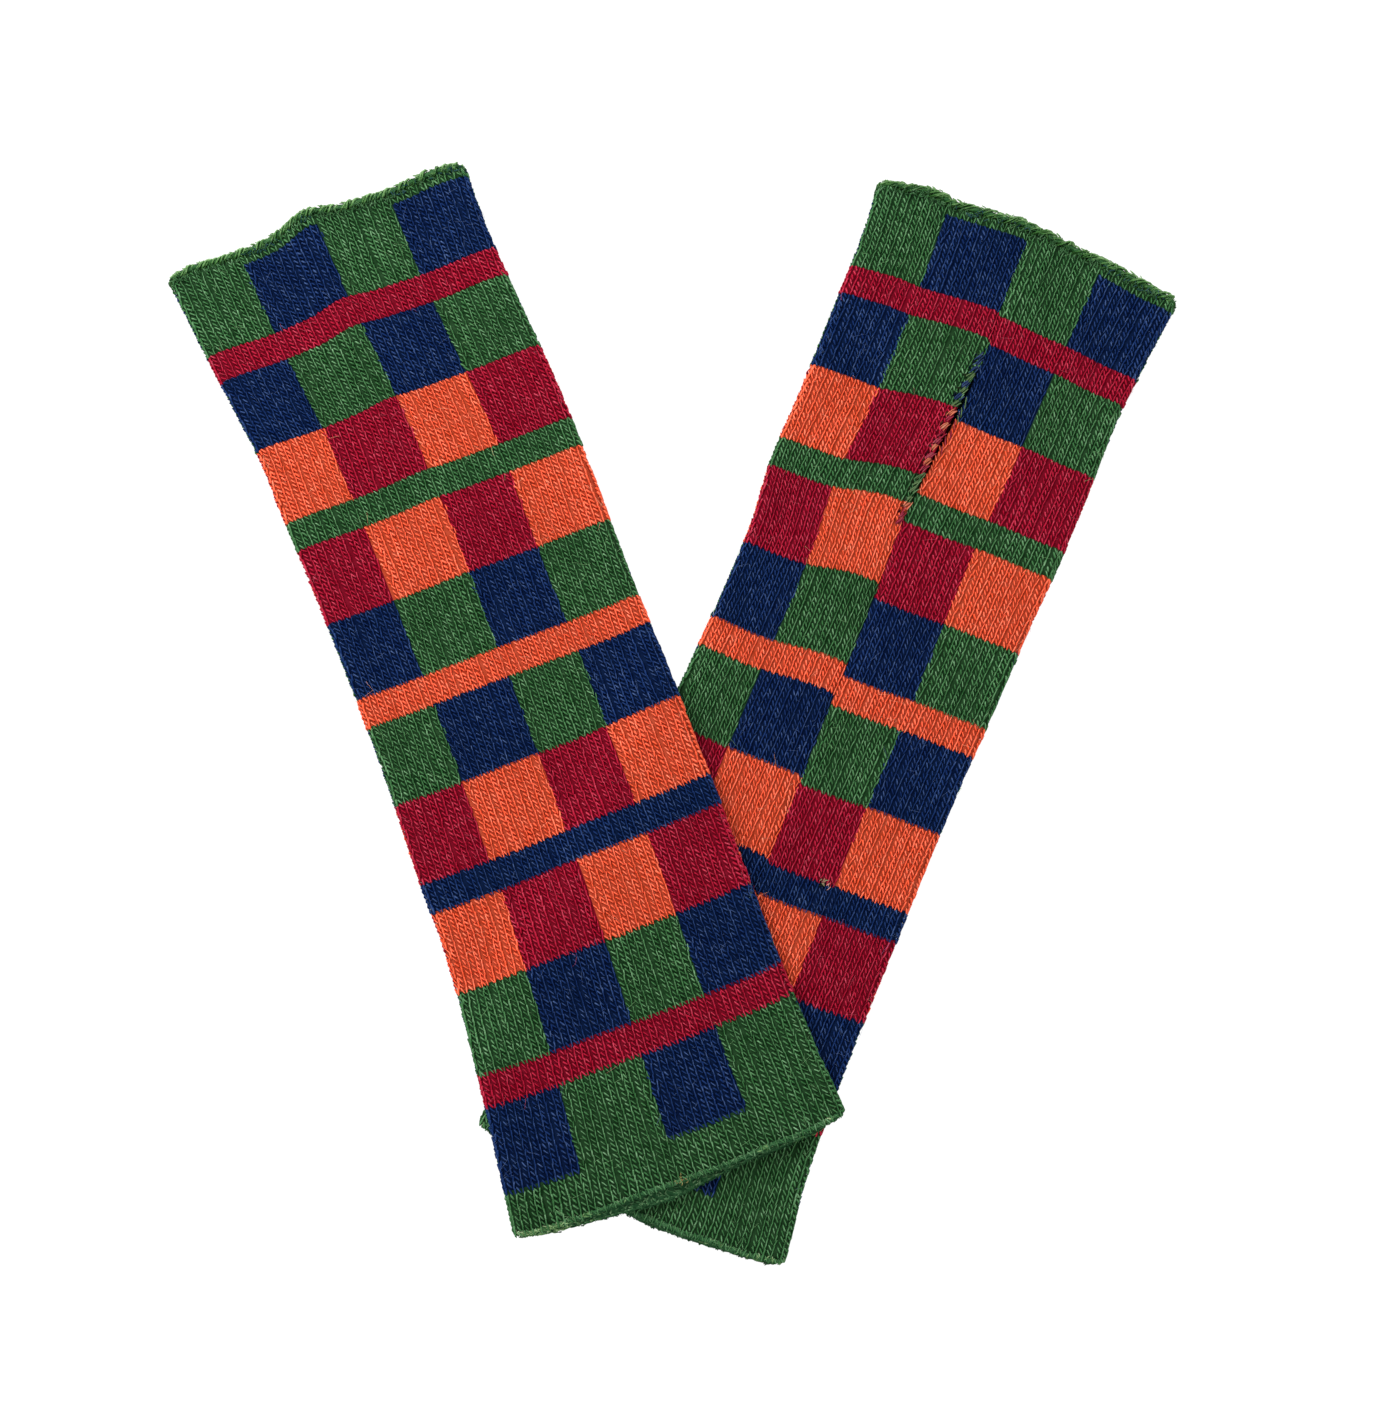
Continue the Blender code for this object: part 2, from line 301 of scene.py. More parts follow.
def wallMiddle(warmer, wale, course):
    across, turn = roundSection(warmer, wale)
    along = placeAlong(warmer, wale, course, across, turn)
    left, right = side(warmer, "left", along), side(warmer, "right", along)
    seam = side(warmer, "seam", along)
    radius, wall = cloth["foldRadius"], cloth["wall"]
    inset = radius + wall / 2
    x = seam + across * np.where(across >= 0, right - inset - seam, left - inset + seam)
    height = wall / 2 + radius * (1 + np.sin(turn))
    # between the folds the upper layer sinks onto the lower one, and waves a little
    onTop = np.isclose(np.sin(turn), 1)
    fromFold = np.where(across > 0, right, left) - np.abs(x) - radius
    flat = onTop * (1 - fading(fromFold, cloth["puffReach"]))
    sway = sum(size * np.sin(along / lengthAlong + x / lengthAcross + phase)
               for size, lengthAlong, lengthAcross, phase in cloth["swayWaves"])
    height = height + flat * (warmer["sway"] * sway - 2 * radius + wall + cloth["layerGap"])
    # the slit opens, its last edge lifts, and the seam is a slight valley
    lastHalf, bySeam = seamSides(wale)
    fromSeam, opening = np.abs(x - seam), slitOpening(along)
    if warmer["seamUp"]:
        height = height + bySeam * lastHalf * cloth["lipLift"] * opening * fading(
            fromSeam, cloth["lipReach"])
    height = height - bySeam * cloth["seamSink"] * (1 - opening) * np.exp(
        -(fromSeam / cloth["seamReach"]) ** 2)
    x = x + radius * np.cos(turn)
    part = np.where(lastHalf, -1.0, 1.0) * (1 if warmer["seamUp"] else -1)
    x = x + bySeam * part * cloth["slitWidth"] / 2 * opening * np.clip(
        1 - fromSeam / cloth["slitReach"], 0, 1)
    rowX, rowY = toRow(warmer, x, along)
    return np.stack([rowX, rowY, height + restHeight(warmer, x, along)], -1)


gridSteps = {"perWale": 4, "perCourse": 2, "below": -3, "above": 205}


def makeCloth(warmer):
    # a fine net of wall middles and outward directions, that every strand is laid on
    wales = np.linspace(0, cloth["wales"], cloth["wales"] * gridSteps["perWale"] + 1)
    count = (gridSteps["above"] - gridSteps["below"]) * gridSteps["perCourse"] + 1
    courses = np.linspace(gridSteps["below"], gridSteps["above"], count)
    points = wallMiddle(warmer, *np.meshgrid(wales, courses, indexing="ij"))
    around, up = np.gradient(points, axis=0), np.gradient(points, axis=1)
    outward = np.cross(around, up)
    outward /= np.linalg.norm(outward, axis=-1, keepdims=True)
    warmer["net"] = np.concatenate([points, outward], -1)


def place(warmer, wale, course, lift):
    net = warmer["net"]
    column = wale * gridSteps["perWale"]
    row = (course - gridSteps["below"]) * gridSteps["perCourse"]
    left = np.clip(np.floor(column).astype(int), 0, net.shape[0] - 2)
    low = np.clip(np.floor(row).astype(int), 0, net.shape[1] - 2)
    over, up = (column - left)[..., None], (row - low)[..., None]
    found = ((net[left, low] * (1 - over) + net[left + 1, low] * over) * (1 - up)
             + (net[left, low + 1] * (1 - over) + net[left + 1, low + 1] * over) * up)
    point = found[..., :3] + found[..., 3:] * lift[..., None]
    point[..., 2] = np.maximum(point[..., 2], cloth["lowest"])  # wool presses flat
    return point * mm


for warmer in (lower, upper):
    makeCloth(warmer)
print("both tubes are shaped")


# yarns

# each yarn's shaded edge, deep dye, main colour and lit fibres
yarnColours = {
    "green": ("#0a240c", "#26552b", "#4c7c4e", "#90b890"),
    "navy": ("#020a2b", "#0b204f", "#1f3767", "#5c729c"),
    "orange": ("#c43818", "#ea532f", "#ff704f", "#ffa282"),
    "crimson": ("#6c0215", "#970c26", "#b2213c", "#d86074"),
}
# Fibres lie 0.25 mm apart in the twist, and the dye varies over about 2 mm. The fibres
# are really finer, and are drawn as coarse as they need to show. Along a strand they are
# stretched, and each strand has its own.
yarn = {
    "fibre": 0.25, "dye": 2.2, "bump": 0.08, "bumpStrength": 0.9, "roughness": 1.0,
    "strandScale": 2.2, "strandStretch": (2.5, 0.8, 40.0), "strandWave": 0.6,
    "sheen": 0.12, "sheenRoughness": 0.5,
    "edgeShade": -0.55, "dyeShare": 0.45, "fibreShare": 0.5, "lotShare": 0.15,
    "rampFrom": -0.2, "rampTo": 1.0, "rampAt": (0.10, 0.34, 0.56, 0.80),
}


# the rim share paints light where a wound strand comes nearest the rim, and shade where it turns back
# towards the cloth
def makeYarn(name, colours, shade=1.0, rimLight=0.0):
    made = newMaterial(name, {
        "Roughness": yarn["roughness"], "Specular IOR Level": 0.0, "Sheen Weight": yarn["sheen"],
        "Sheen Roughness": yarn["sheenRoughness"], "Sheen Tint": toLinear(colours[3])})
    tree = made.node_tree
    shader = tree.nodes["Principled BSDF"]

    coordinates = addNode(tree, "ShaderNodeTexCoord").outputs["Object"]
    strand = addNode(tree, "ShaderNodeAttribute", {"attribute_name": "strandPlace"}).outputs["Vector"]
    across, along, lot = addNode(tree, "ShaderNodeSeparateXYZ", links={0: strand}).outputs
    stretched = addNode(tree, "ShaderNodeMapping", {"Scale": yarn["strandStretch"]},
                        {"Vector": strand}).outputs["Vector"]
    dye = addNode(tree, "ShaderNodeTexNoise", {"Scale": 1 / (yarn["dye"] * mm), "Detail": 3.0},
                  {"Vector": coordinates}).outputs["Fac"]
    fibres = addNode(tree, "ShaderNodeTexNoise",
                     {"Scale": yarn["strandScale"], "Detail": 3.0,
                      "Distortion": yarn["strandWave"]}, {"Vector": stretched}).outputs["Fac"]
    fuzz = addNode(tree, "ShaderNodeTexNoise",
                   {"Scale": 1 / (yarn["fibre"] * mm), "Detail": 2.0},
                   {"Vector": coordinates}).outputs["Fac"]
    steps = addNode(tree, "ShaderNodeMath", {"operation": "MULTIPLY", 1: yarn["dyeShare"]},
                    {0: dye}).outputs[0]
    square = addNode(tree, "ShaderNodeMath", {"operation": "MULTIPLY"},
                     {0: across, 1: across}).outputs[0]
    for value, share in ((square, yarn["edgeShade"]), (fibres, yarn["fibreShare"]),
                         (lot, yarn["lotShare"]), (along, rimLight)):
        steps = addNode(tree, "ShaderNodeMath", {"operation": "MULTIPLY_ADD", 1: share},
                        {0: value, 2: steps}).outputs[0]
    first, last = yarn["rampFrom"], yarn["rampTo"]
    shifted = addNode(tree, "ShaderNodeMapRange",
                      {"From Min": rimLight / 2 + first, "From Max": rimLight / 2 + last},
                      {"Value": steps}).outputs[0]
    ramp = addNode(tree, "ShaderNodeValToRGB", links={0: shifted})
    bands = ramp.color_ramp.elements
    for position, colour in zip(yarn["rampAt"], colours):
        band = bands.new((position - first) / (last - first))
        band.color = [c * shade for c in toLinear(colour)[:3]] + [1.0]
    bands.remove(bands[len(bands) - 1])
    bands.remove(bands[0])
    tree.links.new(ramp.outputs["Color"], shader.inputs["Base Color"])
    relief = addNode(tree, "ShaderNodeMath", {"operation": "ADD"},
                     {0: fibres, 1: fuzz}).outputs[0]
    bump = addNode(tree, "ShaderNodeBump",
                   {"Strength": yarn["bumpStrength"], "Distance": yarn["bump"] * mm},
                   {"Height": relief}).outputs["Normal"]
    tree.links.new(bump, shader.inputs["Normal"])
    return made


# Woollen-spun lambswool is matt, and its loose fibres catch light as a pale bloom. It
# lies in shadow behind the stitches.
lambswool = {k: makeYarn(k + " woollen-spun lambswool", v) for k, v in yarnColours.items()}
behindShade = {"green": 0.29, "navy": 0.32, "orange": 0.40, "crimson": 0.38}
shadedWool = {k: makeYarn(k + " lambswool behind the stitches", v, behindShade[k])
              for k, v in yarnColours.items()}
colourNames = tuple(yarnColours)
# The edges' loops are looser, so more light comes through them; that light is painted into
# the wool, which is paler and yellower. It is painted lighter towards the rim and darker
# in shade towards the cloth.
looseEdgeWool = makeYarn("green lambswool in loose loops",
                         ("#143412", "#376430", "#618a53", "#93b682"), rimLight=0.40)
# Felt at the hem is greyer. Near the folds, where light comes round them, a paler copy
# # paints that light. Both felts are painted lighter towards the rim and darker towards the
# # cloth.
feltedWool = makeYarn("green lambswool felted at the hem",
                      ("#173a20", "#2d5535", "#436a45", "#789a70"), rimLight=0.45)
litFelt = makeYarn("green lambswool felted near the folds, painted lit",
                    ("#2b5029", "#567f4b", "#80a06c", "#b6caa2"), rimLight=0.50)


# the colour chart

chart = {
    "hem": 8, "top": 2, "row": 16, "stripe": 6, "columns": (10, 11) * 4,
    "bands": (("navy", "green", "crimson"), ("orange", "crimson", "navy"),
              ("green", "navy", "orange"), ("crimson", "orange", "green"),
              ("navy", "green", "crimson")),
}


def chartColours(wale, course):
    # each band is two rows of even blocks that change places, and a stripe between them
    edges = np.cumsum(chart["columns"])
    column = np.searchsorted(edges, np.mod(wale, cloth["wales"]), side="right")
    height = 2 * chart["row"] + chart["stripe"]
    up = course - chart["hem"]
    band = np.clip(up // height, 0, len(chart["bands"]) - 1).astype(int)
    inBand = up - band * height
    numbers = np.array([[colourNames.index(c) for c in b] for b in chart["bands"]])
    second = inBand >= chart["row"] + chart["stripe"]
    picked = numbers[band, (column + second) % 2]
    striped = (inBand >= chart["row"]) & ~second
    picked = np.where(striped, numbers[band, 2], picked)
    edge = (course < chart["hem"]) | (course >= cloth["courses"] - chart["top"])
    return np.where(edge, colourNames.index("green"), picked)


# the cloth behind the stitches

# Inside the tube hardly any light comes back from the wool, least from the brightest yarn.
insideShade = {"green": 0.10, "navy": 0.14, "orange": 0.03, "crimson": 0.05}
darkWool = {k: makeYarn(k + " lambswool deep inside the tube", yarnColours[k], shade)
            for k, shade in insideShade.items()}
backing = {
    "lift": 0.16, "foldLift": 0.42, "thickness": 1.0, "coursesPerRow": 2, "from": 0.6,
    "feltedRows": 6,
}
foldSpread = 2.4  # in wales
foldWales = (cloth["halfFace"] + cloth["bend"] / 2, 3 * cloth["halfFace"] + 1.5 * cloth["bend"])


def fromFolds(wale):
    return np.min([np.abs(np.mod(wale, cloth["wales"]) - fold) for fold in foldWales], axis=0)


def atFolds(wale):
    # 1 at the middle of either fold, easing off over a few wales
    return np.exp(-(fromFolds(wale) / foldSpread) ** 2)


def addBacking(warmer):
    rows = cloth["courses"] // backing["coursesPerRow"]
    wales = cloth["wales"]
    mesh = bpy.data.meshes.new(warmer["name"] + "_cloth")
    sheet = bmesh.new()
    bmesh.ops.create_grid(sheet, x_segments=wales, y_segments=rows, size=1)
    at = np.array([v.co[:2] for v in sheet.verts])
    wale = (at[:, 0] + 1) / 2 * wales
    course = backing["from"] + (at[:, 1] + 1) / 2 * (cloth["courses"] - backing["from"])
    lift = backing["lift"] + (backing["foldLift"] - backing["lift"]) * atFolds(wale)
    points = place(warmer, wale, course, lift)
    for vert, point in zip(sheet.verts, points):
        vert.co = point
    for face in sheet.faces:
        corners = [v.index for v in face.verts]
        middle = chartColours(wale[corners].mean(), course[corners].mean())
        felted = course[corners].mean() < backing["feltedRows"]
        face.material_index = len(colourNames) if felted else int(middle)
        face.smooth = True
    sheet.to_mesh(mesh)
    sheet.free()
    materials = [*shadedWool.values(), shadedWool["green"], *darkWool.values(), feltedWool]
    for material in materials:
        mesh.materials.append(material)
    piece = addObject(mesh.name, mesh)
    shell = piece.modifiers.new("wall", "SOLIDIFY")
    shell.thickness = backing["thickness"] * mm
    shell.offset = -1
    shell.material_offset = len(materials) // 2
    finishPiece(piece)
    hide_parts(warmer["name"] + "_panel")
    return piece


# strands, laid on the cloth

ringSpread = 1.2  # the rings stand nearer the tips, so that a strand is full between them
anyPhase = (0, 6.28)  # radians


def spindle(sides, rings):
    # a small closed strand, thickest in the middle, from one bmesh sphere
    shape = bmesh.new()
    bmesh.ops.create_uvsphere(shape, u_segments=sides, v_segments=rings + 1, radius=1)
    bmesh.ops.triangulate(shape, faces=shape.faces)
    for vert in shape.verts:
        if abs(vert.co.z) < 0.99:  # all but the tips
            vert.co.z *= ringSpread
    points = np.array([v.co[:] for v in shape.verts])
    faces = np.array(sorted([v.index for v in f.verts] for f in shape.faces))
    shape.free()
    return points, faces


def markStrands(shape, placed, *marks):
    # what the yarn's colour goes by: the places round and along a strand, and its lot
    marks = np.stack([np.broadcast_to(x, placed.shape[:2]) for x in marks], -1)
    return placed.reshape(-1, 3), marks.reshape(-1, 3), shape[1], len(placed), len(shape[0])


def arch(share):
    return 4 * share * (1 - share)


netSize = np.array([cloth["waleSize"], cloth["courseSize"]])


def runAt(angle, length):
    # a length in millimetres, at an angle to the courses, in wales and courses
    return np.stack([np.cos(angle), np.sin(angle)], -1) * length[:, None] / netSize


def layStrands(warmer, shape, start, stop, lifts, width, depth, bow=0.0, lot=0.0):
    # strands from start to stop, in wales and courses, lifted at both ends and the middle
    points = shape[0]
    share = (points[:, 2] + 1) / 2
    run = stop - start
    step = run * netSize
    step /= np.linalg.norm(step, axis=1, keepdims=True)
    width, depth, bow, lot, first, middle, last = (
        np.broadcast_to(x, len(start))[:, None] for x in (width, depth, bow, lot, *lifts))
    sideways = points[:, 1] * width / 2 + bow * arch(share)
    wale = start[:, :1] + run[:, :1] * share + sideways * step[:, 1:] / netSize[0]
    course = start[:, 1:] + run[:, 1:] * share - sideways * step[:, :1] / netSize[1]
    lift = first * (1 - share) + last * share + arch(share) * (middle - (first + last) / 2)
    placed = place(warmer, wale, course, lift + points[:, 0] * depth / 2)
    return markStrands(shape, placed, points[:, 1], share, lot)


def joinStrands(warmer, name, parts, materials, numbers=None):
    # one piece of all the parts' strands, each in the material with its number
    name = warmer["name"] + "_" + name
    places, marks, faces, picks, offset = [], [], [], [], 0
    for part, (placed, mark, shapeFaces, count, size) in enumerate(parts):
        places.append(placed)
        marks.append(mark)
        starts = offset + np.arange(count)[:, None, None] * size
        faces.append((shapeFaces[None] + starts).reshape(-1, 3))
        if numbers is not None:
            picks.append(np.repeat(numbers[part], len(shapeFaces)))
        offset += len(placed)
    places, marks, faces = (np.concatenate(x) for x in (places, marks, faces))
    mesh = bpy.data.meshes.new(name)
    mesh.vertices.add(len(places))
    mesh.vertices.foreach_set("co", places.ravel())
    mesh.loops.add(faces.size)
    mesh.loops.foreach_set("vertex_index", faces.ravel().astype(np.int32))
    mesh.polygons.add(len(faces))
    mesh.polygons.foreach_set("loop_start", np.arange(0, faces.size, 3, dtype=np.int32))
    for material in materials:
        mesh.materials.append(material)
    if numbers is not None:
        mesh.polygons.foreach_set("material_index", np.concatenate(picks).astype(np.int32))
    kept = mesh.attributes.new("strandPlace", "FLOAT_VECTOR", "POINT")
    kept.data.foreach_set("vector", marks.ravel())
    mesh.update(calc_edges=True)
    mesh.shade_smooth()
    piece = addObject(name, mesh)
    finishPiece(piece)
    print(name, len(faces), "triangles")
    return piece


def everyPair(first, second):
    return [x.ravel() for x in np.meshgrid(first, second, indexing="ij")]


# stitches

# The yarn's twist skews each stitch: one leg stands along the wale as a ridge, and the
# next lies across it as a short dash. "loose" is how far the tension varies, in patches
# and along each wale. A "play" scales the jitter for a leg's width, depth or height.
stitch = {
    "dash": {"from": (-0.38, 0.61), "to": (0.15, -0.55), "width": 0.64, "depth": 0.84,
             "lifts": (0.36, 0.70, 0.20)},
    "ridge": {"from": (0.31, -0.78), "to": (0.39, 0.78), "width": 0.60, "depth": 0.9,
              "lifts": (0.38, 0.86, 0.46)},
    "jitter": 0.054, "widthPlay": 2.6, "depthPlay": 1.8, "liftPlay": 1.2,
    "wander": 0.18, "wanderWaves": (0.13, 0.041),
    "loose": 0.16, "loosePatches": ((0.45, 0.09, 1.0), (-0.21, 0.16, 0.0)),
    "looseWale": (0.5, 0.31),
    "ragged": 0.11, "sunkTop": 0.3, "overBorder": 0.05, "sunkBorder": 0.12,
    "proudBorder": 0.12, "tooth": 0.10, "trimmed": 0.30,
    "foldLift": 0.85, "foldShare": 0.75, "plainBelow": -0.5,
}


def addStitches(warmer):
    draw = np.random.default_rng(warmer["seed"])
    wale, course = everyPair(np.arange(cloth["wales"]), np.arange(cloth["courses"]))
    count = len(wale)
    numbers = chartColours(wale + 0.5, course + 0.5)
    atBorder = chartColours(wale - 0.5, course + 0.5) != numbers
    beforeBorder = chartColours(wale + 1.5, course + 0.5) != numbers
    overOther = chartColours(wale + 0.5, course - 0.5) != numbers
    underOther = chartColours(wale + 0.5, course + 1.5) != numbers
    phase = draw.uniform(*anyPhase, (cloth["wales"], 3))[wale]
    sway = stitch["wander"] * sum(np.sin(course * pace + phase[:, wave])
                                  for wave, pace in enumerate(stitch["wanderWaves"])) / 2
    patches = [np.sin(wale * a + course * b + c) for a, b, c in stitch["loosePatches"]]
    size, pace = stitch["looseWale"]
    loose = patches[0] * patches[1] + size * np.sin(course * pace + phase[:, 2])
    loose = 1 + stitch["loose"] * loose
    ragged = draw.normal(0, stitch["ragged"], count) * (atBorder | beforeBorder)
    middle = np.stack([wale + 0.5 + sway + ragged, course + 0.5], -1)
    turn = roundSection(warmer, wale + 0.5)[1]
    under = np.sin(turn) < stitch["plainBelow"]  # the face that lies down is plainer
    fine, plain = spindle(sides=3, rings=2), spindle(sides=3, rings=1)
    made = [[] for name in colourNames]
    for name in ("dash", "ridge"):
        leg = stitch[name]
        jitter = draw.normal(0, stitch["jitter"], (4, count, 2))
        start = middle + np.array(leg["from"]) + jitter[0]
        stop = middle + np.array(leg["to"]) + jitter[1]
        width = leg["width"] * loose * (1 + stitch["widthPlay"] * jitter[2, :, 0])
        depth = leg["depth"] * warmer["relief"] * (1 + stitch["depthPlay"] * jitter[2, :, 1])
        last = course == cloth["courses"] - 1
        extra = stitch["liftPlay"] * jitter[3, :, 0] - stitch["sunkTop"] * last
        # each stitch comes up through the one below, so a new colour starts in teeth
        (stop if name == "dash" else start)[:, 1] -= stitch["tooth"] * overOther
        extra = extra + stitch["proudBorder"] * overOther
        if name == "dash":
            start[:, 0] -= stitch["overBorder"] * atBorder
        else:
            extra = extra - stitch["sunkBorder"] * beforeBorder
            stop[:, 1] -= stitch["trimmed"] * underOther
        stretched = stitch["foldShare"] * atFolds(wale + 0.5)
        lifts = [x * warmer["relief"] for x in leg["lifts"]]
        lifts = [x + (stitch["foldLift"] - x) * stretched + extra for x in lifts]
        lot = draw.uniform(0.0, 1.0, count)
        for number, parts in enumerate(made):
            for shape, where in ((fine, ~under), (plain, under)):
                pick = (numbers == number) & where
                parts.append(layStrands(
                    warmer, shape, start[pick], stop[pick], [x[pick] for x in lifts],
                    width[pick], depth[pick], lot=lot[pick]))
    return [joinStrands(warmer, name + "Stitches", parts, [lambswool[name]])
            for name, parts in zip(colourNames, made)]


# the linked chain and the cast-on edge

# Each strand winds round the end of the wall. "outer", "inner" and "turns" are angles that
# it starts and stops at: 0 points away from the cloth's end, and 90 outwards. "lumps" are
# waves round the tube, and how far each lifts the strands.
chainEdge = {
    "upper": {"advance": 1.6, "width": 0.72, "lumps": ((33, 0.30), (26, 0.16)), "uneven": 0.07,
              "lots": (0.5, 1.3)},
    "lower": {"advance": 2.8, "width": 0.66, "lumps": ((24, 0.46), (43, 0.22)), "uneven": 0.10,
              "lots": (0.0, 0.9)},
    "strands": 168, "course": 200.70, "reach": (1.02, 0.72), "depth": 0.85, "jitter": 0.22,
    "proudJitter": 0.06, "widthJitter": 0.14, "advanceJitter": 0.12,
    "outer": (195, -25), "inner": (10, -200), "core": (2.0, 1.5), "waves": (9, 14, 19, 31),
    "flatCorner": 0.15, "corner": (0.5, 1.7),
    "wisps": {"count": 420, "reach": (1.16, 0.94), "turns": (215, -60), "lengths": (0.9, 2.0),
              "lean": 0.8, "widths": (0.20, 0.42)},
    "foot": {"count": 460, "courses": (198.9, 200.5), "lengths": (0.9, 2.0), "turn": 0.9,
             "widths": (0.28, 0.55), "depth": 0.5, "lifts": (0.85, 1.18, 0.85), "below": 0.35,
             "shade": 0.62},
}
# at each fold, the share of the hem's felt that is painted lighter for the light coming round it
hemEdge = {
    "course": 0.52, "waves": (11, 23, 29, 61, 83), "core": (1.5, 1.1),
    "upper": {"uneven": 0.11, "lean": 0.9, "lit": (1.0, 0.2)},
    "lower": {"uneven": 0.16, "lean": 0.45, "lit": (0.3, 0.3)},
    "wisps": {"count": 1000, "reach": (0.70, 0.68), "turns": (25, 335), "lengths": (0.9, 2.2),
              "widths": (0.24, 0.52)},
    "litReach": 15,
}
wispPlay = {"reach": 0.06, "course": 0.05, "depth": 1.1}
coreEnds = (-0.5, 1.5)  # each length of the core starts and ends so many wales along


def litFeltShare(warmer, wale):
    # how much of the hem's felt is the copy in painted light, most at the folds
    return sum(share * fading(np.abs(wale - fold), hemEdge["litReach"])
               for share, fold in zip(hemEdge[warmer["name"]]["lit"], foldWales))


def windStrands(warmer, shape, wale, course, reach, turns, advance, width, depth, lot):
    # strands that wind round the end of the wall as they go along it
    points = shape[0]
    share = (points[:, 2] + 1) / 2
    first, last = (np.radians(x) for x in turns)
    radius = (reach[0] + reach[1]) / 2
    arc = (last - first) * radius
    go = advance * cloth["waleSize"]
    size = np.hypot(arc, go)
    width, depth, course, lot = (np.broadcast_to(x, len(wale))[:, None]
                                 for x in (width, depth, course, lot))
    sideways = points[:, 1] * width / 2
    angle = first + (last - first) * share - sideways * go / size / radius
    along = wale[:, None] + advance * share + sideways * arc / size / cloth["waleSize"]
    out = points[:, 0] * depth / 2
    up = course + (reach[0] + out) * np.cos(angle) / cloth["courseSize"]
    placed = place(warmer, np.mod(along, cloth["wales"]), up, (reach[1] + out) * np.sin(angle))
    # the second mark is how near the rim each point is, which the painted rim light goes by
    return markStrands(shape, placed, points[:, 1], 0.5 + 0.5 * np.cos(angle), lot)


def windWisps(warmer, draw, wisps, wale, edgeCourse, proud=0.0):
    # short strands of felted fibre, lying every way round the end of the wall
    count = wisps["count"]
    length = draw.uniform(*wisps["lengths"], count)[:, None]
    lean = draw.normal(0, wisps["lean"], count)[:, None]
    reach = [(x * draw.normal(1, wispPlay["reach"], count) + proud)[:, None]
             for x in wisps["reach"]]
    middle = draw.uniform(*sorted(wisps["turns"]), count)[:, None]
    half = np.degrees(length * np.cos(lean) / sum(reach))
    course = edgeCourse(wale) + draw.normal(0, wispPlay["course"], count)
    return windStrands(warmer, spindle(sides=4, rings=3), wale, course, reach,
                       (middle - half, middle + half), length * np.sin(lean) / cloth["waleSize"],
                       draw.uniform(*wisps["widths"], count),
                       np.mean(wisps["widths"]) * wispPlay["depth"],
                       draw.uniform(0.0, 1.0, count))


def unevenEdge(draw, size, waves):
    # slow ups and downs along an edge: from a wale to courses
    waves = [(k, draw.uniform(*anyPhase)) for k in waves]
    size = size / cloth["courseSize"]
    return lambda wale: size * sum(np.sin(k * 2 * np.pi * wale / cloth["wales"] + phase)
                                   for k, phase in waves)


def layCore(warmer, edgeCourse, size):
    # the middle of a corded edge, seen in the gaps between its strands
    wales = [np.arange(cloth["wales"]) + shift for shift in coreEnds]
    start, stop = (np.stack([wale, edgeCourse(wale)], -1) for wale in wales)
    return layStrands(warmer, spindle(sides=6, rings=3), start, stop, (0.0, 0.0, 0.0), *size)


# The chain's foot lies in its own shadow, and the yarn below shows through it as a tint.
footColours = {
    "green": yarnColours["green"],
    "navy": ("#071a22", "#193c42", "#31595a", "#6d8f94"),
    "orange": ("#5a3418", "#7d5630", "#977348", "#bfa183"),
    "crimson": ("#3a1a14", "#573026", "#6f4a3c", "#a08078"),
}
footWool = {k: makeYarn(k + " lambswool at the chain's foot", v, chainEdge["foot"]["shade"])
            for k, v in footColours.items()}


